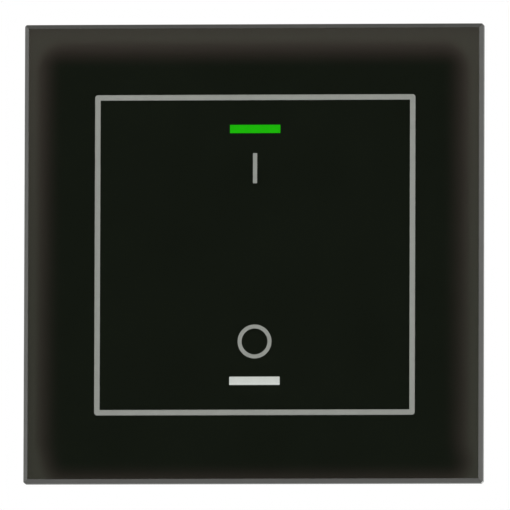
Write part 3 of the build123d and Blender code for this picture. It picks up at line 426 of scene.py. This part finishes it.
def tracks(tree, parts, along, across):
    """1 on long straight copper tracks that run side by side along one axis of a board."""
    flat = tree.nodes.new("ShaderNodeCombineXYZ")
    tree.links.new(parts.outputs[along], flat.inputs["X"])
    tree.links.new(parts.outputs[across], flat.inputs["Y"])
    bricks = tree.nodes.new("ShaderNodeTexBrick")
    bricks.inputs["Scale"].default_value = 1.0
    bricks.inputs["Brick Width"].default_value = TRACK_LENGTH
    bricks.inputs["Row Height"].default_value = TRACK_PITCH
    bricks.inputs["Mortar Size"].default_value = TRACK_WIDTH
    bricks.inputs["Mortar Smooth"].default_value = TRACK_EDGE
    tree.links.new(flat.outputs[0], bricks.inputs["Vector"])
    return bricks.outputs["Fac"]


def solder_mask():
    """Green solder mask, paler over its copper tracks, with small tinned vias here and there."""
    material, tree, shader = surface(
        "board_laminate", MASK_GREEN, 0.34, patch=6.0, grain=0.2, depth=0.004
    )
    vector = coordinates(tree)
    parts = tree.nodes.new("ShaderNodeSeparateXYZ")
    tree.links.new(vector, parts.inputs[0])
    zone = noise(tree, vector, ZONE_SIZE, detail=1.0)
    level = ranged(tree, zone, 0.0, 1.0, *LEVEL_ZONE)
    upright = ranged(tree, zone, 1.0, 0.0, *UPRIGHT_ZONE)
    track = maths(
        tree, "MAXIMUM",
        maths(tree, "MULTIPLY", tracks(tree, parts, "X", "Z"), level),
        maths(tree, "MULTIPLY", tracks(tree, parts, "Z", "X"), upright),
    )
    vias = tree.nodes.new("ShaderNodeTexVoronoi")
    vias.inputs["Scale"].default_value = 1 / VIA_SPACING
    tree.links.new(vector, vias.inputs["Vector"])
    via = ranged(tree, vias.outputs["Distance"], 1.0, 0.0, *VIA_EDGE)
    base = shader.inputs["Base Color"].links[0].from_socket
    copper = mixed(tree, track, base, MASK_OVER_COPPER)
    tree.links.new(mixed(tree, via, copper, VIA_TIN), shader.inputs["Base Color"])
    return material


def wound_coil():
    """Enamelled copper wire, wound round the Y axis in close turns."""
    material, tree, shader = surface(
        "copper_wire", WIRE_COPPER, 0.35, metallic=1.0, tint=0.06, patch=3.0, depth=0.0
    )
    turns = tree.nodes.new("ShaderNodeTexWave")
    turns.bands_direction = "Y"
    turns.inputs["Scale"].default_value = WIRE_TURNS
    turns.inputs["Distortion"].default_value = WIRE_WANDER
    tree.links.new(coordinates(tree), turns.inputs["Vector"])
    bumped(tree, shader, turns.outputs["Fac"], WIRE_DEPTH)
    return material


def materials():
    """Every finish of the part, by the name of its slot in the record."""
    made = {
        name: plain(name, colour, roughness, **BRUSHED)
        for name, (colour, roughness) in BRUSHED_METALS.items()
    }
    for name, (colour, roughness, grain) in PLAIN_FINISHES.items():
        made[name] = plain(name, colour, roughness, **grain)
    made["green_window"] = lit_window("green_window", GREEN_LIGHT)
    made["white_window"] = lit_window("white_window", WHITE_LIGHT, WHITE_RIM)
    made["board_laminate"] = solder_mask()
    made["copper_wire"] = wound_coil()
    return made


SLOT_NODES = {
    "black_ink": ["black_back_print"],
    "grey_ink": ["border_line_print", "on_symbol_print", "off_symbol_print"],
    "green_window": ["on_bar_window"],
    "white_window": ["off_bar_window"],
    "adhesive_foam": ["adhesive_sheet"],
    "diffusing_acrylic": ["on_light_guide", "off_light_guide"],
    "board_laminate": ["touch_board", "power_board"],
    "copper_foil": ["on_touch_pad", "off_touch_pad"],
    "led_body": ["on_leds", "off_leds"],
    "chip_black": ["touch_controller"],
    "tinned_metal": [
        "touch_controller_leads", "header_pins", "component_leads", "relay_pins",
        "terminal_tongues",
    ],
    "chip_ceramic": ["touch_board_passives", "power_board_chips"],
    "black_nylon": [
        "board_socket", "pin_header", "transformer_base", "relay_base", "relay_bobbin",
    ],
    "carrier_plastic": ["carrier_frame"],
    "nickel_magnet": ["retaining_magnets"],
    "zinc_steel": ["mounting_plate"],
    "screw_steel": [
        "housing_screws", "line_terminal_screw", "load_terminal_screw", "neutral_terminal_screw",
    ],
    "housing_plastic": ["rear_housing", "base_cover"],
    "terminal_plastic": ["terminal_block"],
    "film_yellow": ["film_capacitor"],
    "fuse_brown": ["fuse"],
    "capacitor_sleeve": ["input_capacitor", "output_capacitor"],
    "varistor_blue": ["varistor"],
    "ferrite": ["transformer_core"],
    "winding_tape": ["transformer_winding"],
    "relay_plastic": ["relay_cover"],
    "soft_iron": ["relay_yoke", "relay_core", "relay_armature"],
    "copper_wire": ["relay_coil"],
    "contact_bronze": ["relay_fixed_contact", "relay_contact_leaf"],
    "cage_steel": ["line_terminal_cage", "load_terminal_cage", "neutral_terminal_cage"],
}


def dress_nodes(finishes):
    """Gives each CAD node the finish of its own slot in the record."""
    for slot, names in SLOT_NODES.items():
        for name in names:
            slots = nodes[name].data.materials
            slots.clear()
            slots.append(finishes[slot])


# Camera, light and floor


def camera_matrix():
    """Stands the camera off its aim, turned to it and rolled."""
    back = Vector((
        math.sin(CAMERA_YAW) * math.cos(CAMERA_PITCH),
        -math.cos(CAMERA_YAW) * math.cos(CAMERA_PITCH),
        math.sin(CAMERA_PITCH),
    ))
    turned = (-back).to_track_quat("-Z", "Y").to_matrix().to_4x4()
    rolled = turned @ Matrix.Rotation(CAMERA_ROLL, 4, "Z")
    return Matrix.Translation(AIM + back * CAMERA_DISTANCE) @ rolled


def make_camera():
    """The camera, with the lens that takes in FRAME_WIDTH at its distance."""
    data = bpy.data.cameras.new("camera")
    data.sensor_width = SENSOR
    data.lens = SENSOR * CAMERA_DISTANCE / FRAME_WIDTH
    data.clip_start, data.clip_end = CAMERA_CLIP
    camera = bpy.data.objects.new("camera", data)
    camera.matrix_world = camera_matrix()
    bpy.context.scene.collection.objects.link(camera)
    bpy.context.scene.camera = camera
    return camera


def soft_lamp(name, place, size, power):
    """A square lamp turned to the object, itself unseen and unmirrored."""
    data = bpy.data.lights.new(name, "AREA")
    data.shape = "SQUARE"
    data.size = size
    data.energy = power
    lamp = bpy.data.objects.new(name, data)
    lamp.location = place
    lamp.rotation_mode = "QUATERNION"
    lamp.rotation_quaternion = (-lamp.location).to_track_quat("-Z", "Y")
    lamp.visible_camera = lamp.visible_glossy = lamp.visible_transmission = False
    bpy.context.scene.collection.objects.link(lamp)


def fade(tree, value, side):
    """1 outside where the surround begins to fade, and 0 inside where it has gone."""
    outer, inner, power = side
    node = tree.nodes.new("ShaderNodeMapRange")
    node.inputs["From Min"].default_value = inner
    node.inputs["From Max"].default_value = outer
    tree.links.new(value, node.inputs["Value"])
    return maths(tree, "POWER", node.outputs["Result"], power)


def mirrored_front(tree, camera, parts, ahead):
    """What the front mirrors, for a direction of the world, of which ahead is the share forward.
    A direction stands for the place on the front at which the camera sees it mirrored."""
    forward = maths(tree, "MAXIMUM", ahead, LEAST_AHEAD)
    depth = GLASS_FRONT * MM - camera.location.y

    def place(axis, start):
        slope = maths(tree, "DIVIDE", parts.outputs[axis], forward)
        return maths(tree, "MULTIPLY_ADD", slope, depth, start)

    upward = place("Z", camera.location.z)
    step = ranged(tree, upward, FIELD_STEP, 0.0, *FIELD_STEP_RISE)
    across = maths(tree, "SUBTRACT", place("X", camera.location.x), step)
    light = 0.0
    for value, side in (
        (across, FIELD_LEFT), (across, FIELD_RIGHT), (upward, FIELD_LOW), (upward, FIELD_HIGH)
    ):
        light = maths(tree, "ADD", fade(tree, value, side), light)
    height = ranged(tree, upward, 0.0, 1.0, *SURROUND_RISE)

    def surround(tint):
        ends = (SURROUND_LOW, SURROUND_HIGH)
        low, high = ((*(c * t for c, t in zip(end, tint)), 1) for end in ends)
        return mixed(tree, height, low, high)

    colour = mixed(tree, light, surround(FADE_TINT), surround(WHITE))
    return mixed(tree, light, FIELD, colour)


def mirrored_room(tree, camera):
    """What gloss mirrors: the surround and its field ahead, a bright room at the sides and behind,
    and less light above and below."""
    place = tree.nodes.new("ShaderNodeTexCoord")
    parts = tree.nodes.new("ShaderNodeSeparateXYZ")
    tree.links.new(place.outputs["Generated"], parts.inputs[0])
    sideways = maths(tree, "ABSOLUTE", parts.outputs["X"])
    open_side = maths(tree, "MAXIMUM", sideways, parts.outputs["Y"])
    room = mixed(tree, open_side, DIM_GLOSS, WHITE)
    ahead = maths(tree, "MULTIPLY", parts.outputs["Y"], -1.0)
    in_front = ranged(tree, ahead, 0.0, 1.0, *FRONT_CONE)
    return mixed(tree, in_front, room, mirrored_front(tree, camera, parts, ahead))


def make_world(camera):
    """Even light on the object, white behind it, and a room that only gloss sees."""
    world = bpy.data.worlds.new("studio")
    bpy.context.scene.world = world
    world.use_nodes = True
    tree = world.node_tree
    tree.nodes.clear()
    out = tree.nodes.new("ShaderNodeOutputWorld")
    path = tree.nodes.new("ShaderNodeLightPath")

    def background(colour, strength):
        node = tree.nodes.new("ShaderNodeBackground")
        node.inputs["Strength"].default_value = strength
        if isinstance(colour, bpy.types.NodeSocket):
            tree.links.new(colour, node.inputs["Color"])
        else:
            node.inputs["Color"].default_value = colour
        return node.outputs[0]

    def mix(factor, first, second):
        node = tree.nodes.new("ShaderNodeMixShader")
        tree.links.new(factor, node.inputs[0])
        tree.links.new(first, node.inputs[1])
        tree.links.new(second, node.inputs[2])
        return node.outputs[0]

    lit = background(WHITE, WORLD_LEVEL)
    seen = background(WHITE, 1.0)
    mirrored = background(mirrored_room(tree, camera), 1.0)
    through = maths(
        tree, "MAXIMUM", path.outputs["Is Camera Ray"], path.outputs["Is Transmission Ray"]
    )
    whole = mix(path.outputs["Is Glossy Ray"], mix(through, lit, seen), mirrored)
    tree.links.new(whole, out.inputs["Surface"])


def make_floor():
    """A pale floor that shows white, keeps the object's shadow and is see-through from below."""
    mesh = bpy.data.meshes.new("floor")
    half = FLOOR_SIDE / 2
    corners = [(x * half, y * half, FLOOR_HEIGHT) for x, y in CORNERS]
    mesh.from_pydata(corners, [], [(0, 1, 2, 3)])
    floor = bpy.data.objects.new("floor", mesh)
    bpy.context.scene.collection.objects.link(floor)
    material = bpy.data.materials.new("floor_paint")
    material.use_nodes = True
    tree = material.node_tree
    shader = tree.nodes["Principled BSDF"]
    shader.inputs["Base Color"].default_value = FLOOR_COLOUR
    shader.inputs["Roughness"].default_value = FLOOR_ROUGHNESS
    path = tree.nodes.new("ShaderNodeLightPath")
    lift = maths(tree, "MULTIPLY", path.outputs["Is Camera Ray"], FLOOR_LIFT)
    shader.inputs["Emission Color"].default_value = WHITE
    tree.links.new(lift, shader.inputs["Emission Strength"])
    under = tree.nodes.new("ShaderNodeNewGeometry")
    open_below = tree.nodes.new("ShaderNodeBsdfTransparent")
    blend = tree.nodes.new("ShaderNodeMixShader")
    tree.links.new(under.outputs["Backfacing"], blend.inputs[0])
    tree.links.new(shader.outputs[0], blend.inputs[1])
    tree.links.new(open_below.outputs[0], blend.inputs[2])
    tree.links.new(blend.outputs[0], tree.nodes["Material Output"].inputs["Surface"])
    mesh.materials.append(material)


dress_nodes(materials())
glass = glass_front()
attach(glass, "front_unit")
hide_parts("glass_panel")

camera = make_camera()
make_world(camera)
mirror_side = Vector((-1, 1, 1))
soft_lamp("left_lamp", SIDE_LAMP_PLACE * mirror_side, SIDE_LAMP_SIZE, SIDE_LAMP_POWER)
soft_lamp("right_lamp", SIDE_LAMP_PLACE, SIDE_LAMP_SIZE, SIDE_LAMP_POWER)
soft_lamp("key_lamp", KEY_LAMP_PLACE, KEY_LAMP_SIZE, KEY_LAMP_POWER)
make_floor()

bpy.context.scene.view_settings.view_transform = "Standard"
